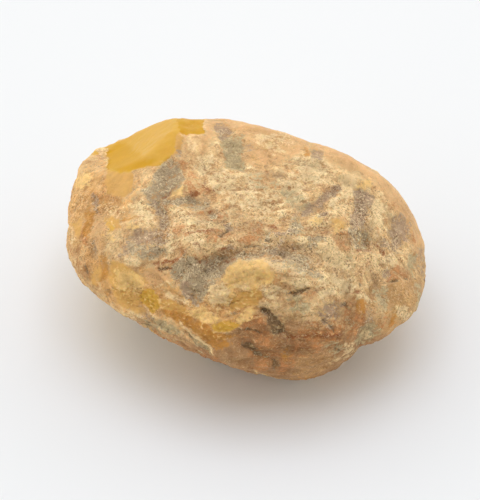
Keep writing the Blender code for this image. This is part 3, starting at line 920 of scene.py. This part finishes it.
class Paint:
    """The node tree of a material or a sky, with short names for the nodes used most."""

    def __init__(self, owner, place="Object"):
        self.owner = owner
        owner.use_nodes = True
        self.tree = owner.node_tree
        self.tree.nodes.clear()
        self.place = self.node("ShaderNodeTexCoord", output=place)

    def node(self, kind, settings=None, inputs=None, output=0):
        """Adds a node: its settings first, then its sockets, and gives one of its outputs."""
        node = self.tree.nodes.new(kind)
        for name, value in (settings or {}).items():
            if name == "stops":
                self.set_stops(node.color_ramp, value)
            else:
                setattr(node, name, value)
        for name, value in (inputs or {}).items():
            socket = node.inputs[name] if isinstance(name, int) else self.socket(node, name)
            if isinstance(value, Value):
                self.tree.links.new(value.socket, socket)
            else:
                socket.default_value = value
        return Value(self, node.outputs[output])

    def socket(self, node, name):
        """The input of a node whose identifier, or else whose name, is this."""
        exact = [socket for socket in node.inputs if socket.identifier == name]
        return exact[0] if exact else node.inputs[name]

    def set_stops(self, ramp, stops):
        while len(ramp.elements) < len(stops):
            ramp.elements.new(0.5)
        for element, (position, look) in zip(ramp.elements, stops):
            element.position = position
            element.color = (*look, 1.0)

    def math(self, operation, left, right):
        return self.node("ShaderNodeMath", {"operation": operation}, {0: left, 1: right})

    def field(self, name):
        return self.node("ShaderNodeAttribute", {"attribute_name": name}, output="Fac")

    def noise(self, size, detail=2.0, roughness=0.5, distortion=0.0, place=None):
        """Noise of a size in mm, from 0 to 1 and mostly near 0.5."""
        sockets = {
            "Vector": place or self.place,
            "Scale": 1 / (size * MM),
            "Detail": detail,
            "Roughness": roughness,
            "Distortion": distortion,
        }
        return self.node("ShaderNodeTexNoise", {"noise_dimensions": "3D"}, sockets, "Fac")

    def shifted(self, shift):
        """The place on the stone, shifted by a length in mm, for a pattern unlike its neighbours."""
        sockets = {"Vector": self.place, "Location": (shift * MM, shift * MM, 0)}
        return self.node("ShaderNodeMapping", None, sockets)

    def step(self, value, low, high):
        """Eases from 0 at low to 1 at high."""
        sockets = {"Value": value, "From Min": low, "From Max": high}
        return self.node("ShaderNodeMapRange", {"interpolation_type": "SMOOTHSTEP"}, sockets)

    def ramp(self, value, *stops):
        return self.node("ShaderNodeValToRGB", {"stops": stops}, {"Fac": value})

    def mix(self, share, under, over):
        """Lays one colour over another by a share."""
        sockets = {"Factor_Float": share}
        for name, side in {"A_Color": under, "B_Color": over}.items():
            sockets[name] = side if isinstance(side, Value) else (*side, 1.0)
        return self.node("ShaderNodeMix", {"data_type": "RGBA"}, sockets, "Result")

    def mark(self, base, *marks):
        """Lays colours over a base, each by its cover as its pattern goes from low to high."""
        for pattern, low, high, cover, look in marks:
            base = self.mix(self.step(pattern, low, high) * cover, base, look)
        return base

    def finish(self, surface, kind="ShaderNodeOutputMaterial"):
        out = self.tree.nodes.new(kind)
        self.tree.links.new(surface.socket, out.inputs["Surface"])
        return self.owner


def amber_surface(paint, painted, sockets):
    """A surface with a little light scattered under it."""
    settings = {"subsurface_method": "RANDOM_WALK"}
    return paint.node("ShaderNodeBsdfPrincipled", settings, {**painted, **sockets})


def amber_material(settings):
    """Weathered crust over cloudy amber, painted from the skin's fields."""
    paint = Paint(bpy.data.materials.new("weathered_amber"))
    values = {name: getattr(settings, name) for name in settings.__annotations__}
    look = {name: tuple(value) for name, value in values.items() if hasattr(value, "r")}

    blotch = paint.noise(3.2, detail=5, roughness=0.6, distortion=1.0)
    middle = paint.noise(1.5, detail=5, roughness=0.65, distortion=1.2)
    fine = paint.noise(0.55, detail=3, roughness=0.65)
    curl = paint.noise(0.8, detail=3, roughness=0.6, distortion=2.5)
    speck = paint.noise(0.28, detail=2, distortion=0.8)
    stain = paint.noise(2.2, detail=5, roughness=0.68, distortion=1.0, place=paint.shifted(7))
    dust = paint.noise(2.6, detail=5, roughness=0.65, distortion=1.0, place=paint.shifted(19))
    grime = paint.noise(2.0, detail=5, roughness=0.65, distortion=1.0, place=paint.shifted(31))
    vein = paint.noise(3.0, detail=4, roughness=0.6, distortion=0.6, place=paint.shifted(43)) - 0.5
    smooth = paint.field("smooth")
    streaks = paint.field("streaks")
    folds = paint.field("folds")
    # From 0 where the skin stands out to 1 where it lies deep.
    hollow = paint.step(paint.field("hollow"), -0.35, 0.35)

    # The crust: four tones, painted a little darker in hollows and lighter where the skin stands out, as
    # painted shade and light; then stain, dust, grime and veins.
    tone_and_hollow_shade = middle * 0.4 + blotch * 0.3 + 0.15 + streaks * 0.022 + (0.5 - hollow) * 0.12
    base = paint.ramp(
        tone_and_hollow_shade,
        (0.40, look["crust_tan"]),
        (0.47, look["crust_peach"]),
        (0.54, look["crust_cream"]),
        (0.65, look["crust_pale"]),
    )
    crust = 1 - smooth * 0.8
    dull = crust * (1 - paint.field("glow") * 0.8)
    # The grime mark is the crust's own mauve-brown grime, and its pull into the hollows is painted shade.
    grime_and_hollow_shade = grime + (hollow - 0.5) * 0.25 + streaks * -0.01
    veined = paint.step(stain, 0.44, 0.56) * crust
    base = paint.mark(
        base,
        (stain, 0.53, 0.64, crust * 0.42, look["stain"]),
        (dust, 0.53, 0.62, dull * 0.35, look["dust"]),
        (grime_and_hollow_shade, 0.53, 0.62, dull * 0.40, look["grime"]),
        (vein * vein, 0.0012, 0.0001, veined * 0.35, look["vein"]),
    )

    # The finishes over it, and how much of the grain they keep.
    ragged = (curl - 0.5) * 0.6 + (fine - 0.5) * 0.4 + (middle - 0.5) * 0.7 + streaks * 0.045
    cloud = paint.step(blotch * 0.5 + middle * 0.5 + folds * 0.01, 0.42, 0.58)
    kept = 1.0
    for finish, edge, strength, grained, cloudy in LAYERS:
        field = paint.field(finish)
        share = paint.step(field + ragged * edge, 0.30, 0.70) * paint.step(field, 0.02, 0.25) * strength
        deep = tuple(part * (1 - cloudy) for part in look[finish])
        pale = tuple(part * (1 + cloudy) for part in look[finish])
        base = paint.mix(share, base, paint.mix(cloud, deep, pale))
        kept = share * grained + (1 - share) * kept

    # Painted highlight on the pale lips of the ledges and painted shade at their orange feet, then the
    # grain: curls of the crust and finer specks.
    ledge = paint.field("ledge") + ragged * 0.5
    flaky = paint.field("flaky") * (1 - paint.field("grey"))
    grit = paint.field("grit")
    clean = paint.step(dust, 0.60, 0.42)
    grain = kept * (clean * 0.6 + 0.25 + hollow * 0.35 + grit * 0.3) * settings.grain
    gritty = grain * (grit * 0.4 + paint.step(middle, 0.40, 0.60) * 0.4 + 0.15)
    mottle = speck + (0.5 - curl) * 0.4
    base = paint.mark(
        base,
        (ledge, 0.72, 0.95, flaky * 0.65, look["lip"]),
        (ledge, 0.22, 0.02, flaky * 0.35, look["foot"]),
        (curl, 0.52, 0.62, grain * 0.38, look["fleck"]),
        (curl, 0.47, 0.37, grain * 0.36, look["speck"]),
        (mottle, 0.48, 0.34, gritty * 0.4, look["fleck"]),
        (mottle, 0.54, 0.68, gritty, look["speck"]),
    )

    # Painted shade and light: hollows are painted a little darker than what stands out, and the rising
    # folds and streaks a little lighter, least so on the chips.
    chip = paint.math("MAXIMUM", paint.field("gold"), paint.field("deep"))
    relief_light = (blotch - 0.5) * 0.25 + (0.5 - hollow) * 0.2 + folds * 0.05 + streaks * 0.03
    light = 0.96 + (fine - 0.5) * grain + relief_light * (1 - chip * 0.8) * (1 - smooth * 0.6)
    base = paint.node("ShaderNodeVectorMath", {"operation": "SCALE"}, {"Vector": base, "Scale": light})

    grain_height = (curl * 0.6 + mottle * 0.4) * (1 - smooth * 0.9)
    sockets = {"Strength": 0.6, "Distance": 0.35 * MM, "Height": grain_height}
    painted = {"Base Color": base, "Normal": paint.node("ShaderNodeBump", None, sockets, "Normal")}
    crusted = amber_surface(
        paint,
        painted,
        {
            "Roughness": 0.78,
            "Specular IOR Level": 0.25,
            "Subsurface Weight": 0.15,
            "Subsurface Radius": (1.0, 0.45, 0.15),
            "Subsurface Scale": 0.6 * MM,
        },
    )
    polished = amber_surface(
        paint,
        painted,
        {
            "Roughness": 0.45,
            "IOR": 1.54,
            "Specular IOR Level": 0.08,
            "Subsurface Weight": 0.4,
            "Subsurface Radius": (1.0, 0.45, 0.12),
            "Subsurface Scale": 1.2 * MM,
        },
    )
    bare = paint.step(smooth, 0.3, 0.9)
    return paint.finish(paint.node("ShaderNodeMixShader", None, {"Fac": bare, 1: crusted, 2: polished}))


def studio_sky(settings):
    """Soft light from the left, the right and behind, and none from the front."""
    paint = Paint(bpy.data.worlds.new("studio_sky"), place="Generated")
    across = paint.node("ShaderNodeSeparateXYZ", None, {"Vector": paint.place}, "X")
    away = paint.node("ShaderNodeSeparateXYZ", None, {"Vector": paint.place}, "Y")
    strength = (
        paint.math("MAXIMUM", across * -settings.left_light, 0)
        + paint.math("MAXIMUM", across * settings.right_light, 0)
        + paint.math("MAXIMUM", away * settings.back_light, 0)
    )
    sockets = {"Color": (*settings.sky_colour, 1.0), "Strength": strength}
    return paint.finish(paint.node("ShaderNodeBackground", None, sockets), "ShaderNodeOutputWorld")


def floor_material(settings):
    paint = Paint(bpy.data.materials.new("pale_floor"))
    sockets = {"Base Color": (*settings.floor_colour, 1.0), "Roughness": 0.9, "Specular IOR Level": 0.1}
    return paint.finish(paint.node("ShaderNodeBsdfPrincipled", None, sockets))


# ---------------------------------------------------------------- operators


def add_object(scene, name, data):
    """An object of the data, linked to the scene."""
    made = bpy.data.objects.new(name, data)
    scene.collection.objects.link(made)
    return made


def look_back(holder, towards):
    """Turns a lamp or a camera to look against the way that it was moved out."""
    holder.rotation_euler = (-towards).to_track_quat("-Z", "Y").to_euler()


class MESH_OT_add_amber_stone(bpy.types.Operator):
    """Add the weathered skin of the amber nodule over its solid"""

    bl_idname = "mesh.add_amber_stone"
    bl_label = "Add Amber Stone"
    bl_options = {"REGISTER", "UNDO"}

    def execute(self, context):
        settings = context.scene.amber_stone
        skin = Skin(fine_skin(settings.cuts))
        carve(skin, settings)
        data = skin.write()
        data.shade_smooth()
        data.materials.append(amber_material(settings))
        stone = add_object(context.scene, "weathered_amber", data)
        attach(stone, "root")
        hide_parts(NODE)
        return {"FINISHED"}


class SCENE_OT_add_amber_stage(bpy.types.Operator):
    """Add the pale floor, the soft light and the camera"""

    bl_idname = "scene.add_amber_stage"
    bl_label = "Add Amber Stage"
    bl_options = {"REGISTER", "UNDO"}

    def execute(self, context):
        settings = context.scene.amber_stage
        scene = context.scene
        self.add_floor(scene, settings)
        self.add_light(scene, settings)
        self.add_camera(scene)
        scene.view_settings.view_transform = "Standard"
        return {"FINISHED"}

    def add_floor(self, scene, settings):
        mesh = bmesh.new()
        bmesh.ops.create_grid(mesh, x_segments=1, y_segments=1, size=settings.floor_width / 2)
        data = bpy.data.meshes.new("pale_floor")
        mesh.to_mesh(data)
        mesh.free()
        data.materials.append(floor_material(settings))
        add_object(scene, "pale_floor", data)

    def add_light(self, scene, settings):
        scene.world = studio_sky(settings)
        lamp = bpy.data.lights.new("overhead_lamp", "AREA")
        lamp.size = settings.lamp_width
        lamp.energy = settings.lamp_power
        lamp.color = settings.lamp_colour
        holder = add_object(scene, "overhead_lamp", lamp)
        towards = Vector((0, math.cos(settings.lamp_lift), math.sin(settings.lamp_lift)))
        holder.location = HEART + towards * settings.lamp_distance
        look_back(holder, towards)

    def add_camera(self, scene):
        """Looks at the stone as the drawing does."""
        camera = bpy.data.cameras.new("camera")
        width, height = DRAWING_SIZE
        camera.lens = camera.sensor_width * DRAWING_DISTANCE / (height / DRAWING_SCALE)
        camera.shift_x = (width / 2 - DRAWING_MIDDLE[0]) / height
        camera.shift_y = (DRAWING_MIDDLE[1] - height / 2) / height
        camera.clip_start = 1 * MM
        holder = add_object(scene, "camera", camera)
        towards = drawing_axes()[2]
        holder.location = (DRAWING_FOCUS + towards * DRAWING_DISTANCE) * MM
        look_back(holder, towards)
        scene.camera = holder


class VIEW3D_PT_amber(bpy.types.Panel):
    """Lists the stone, the stage and their settings"""

    bl_idname = "VIEW3D_PT_amber"
    bl_label = "Raw Amber"
    bl_space_type = "VIEW_3D"
    bl_region_type = "UI"
    bl_category = "Amber"

    def draw(self, context):
        for operator, settings in (
            (MESH_OT_add_amber_stone, context.scene.amber_stone),
            (SCENE_OT_add_amber_stage, context.scene.amber_stage),
        ):
            self.layout.operator(operator.bl_idname)
            for name in settings.__annotations__:
                self.layout.prop(settings, name)


CLASSES = (
    AmberStoneSettings,
    AmberStageSettings,
    MESH_OT_add_amber_stone,
    SCENE_OT_add_amber_stage,
    VIEW3D_PT_amber,
)


def register():
    for cls in CLASSES:
        bpy.utils.register_class(cls)
    bpy.types.Scene.amber_stone = PointerProperty(type=AmberStoneSettings)
    bpy.types.Scene.amber_stage = PointerProperty(type=AmberStageSettings)


def unregister():
    del bpy.types.Scene.amber_stone
    del bpy.types.Scene.amber_stage
    for cls in reversed(CLASSES):
        bpy.utils.unregister_class(cls)


def main():
    register()
    bpy.ops.mesh.add_amber_stone()
    bpy.ops.scene.add_amber_stage()


if __name__ == "__main__":
    main()
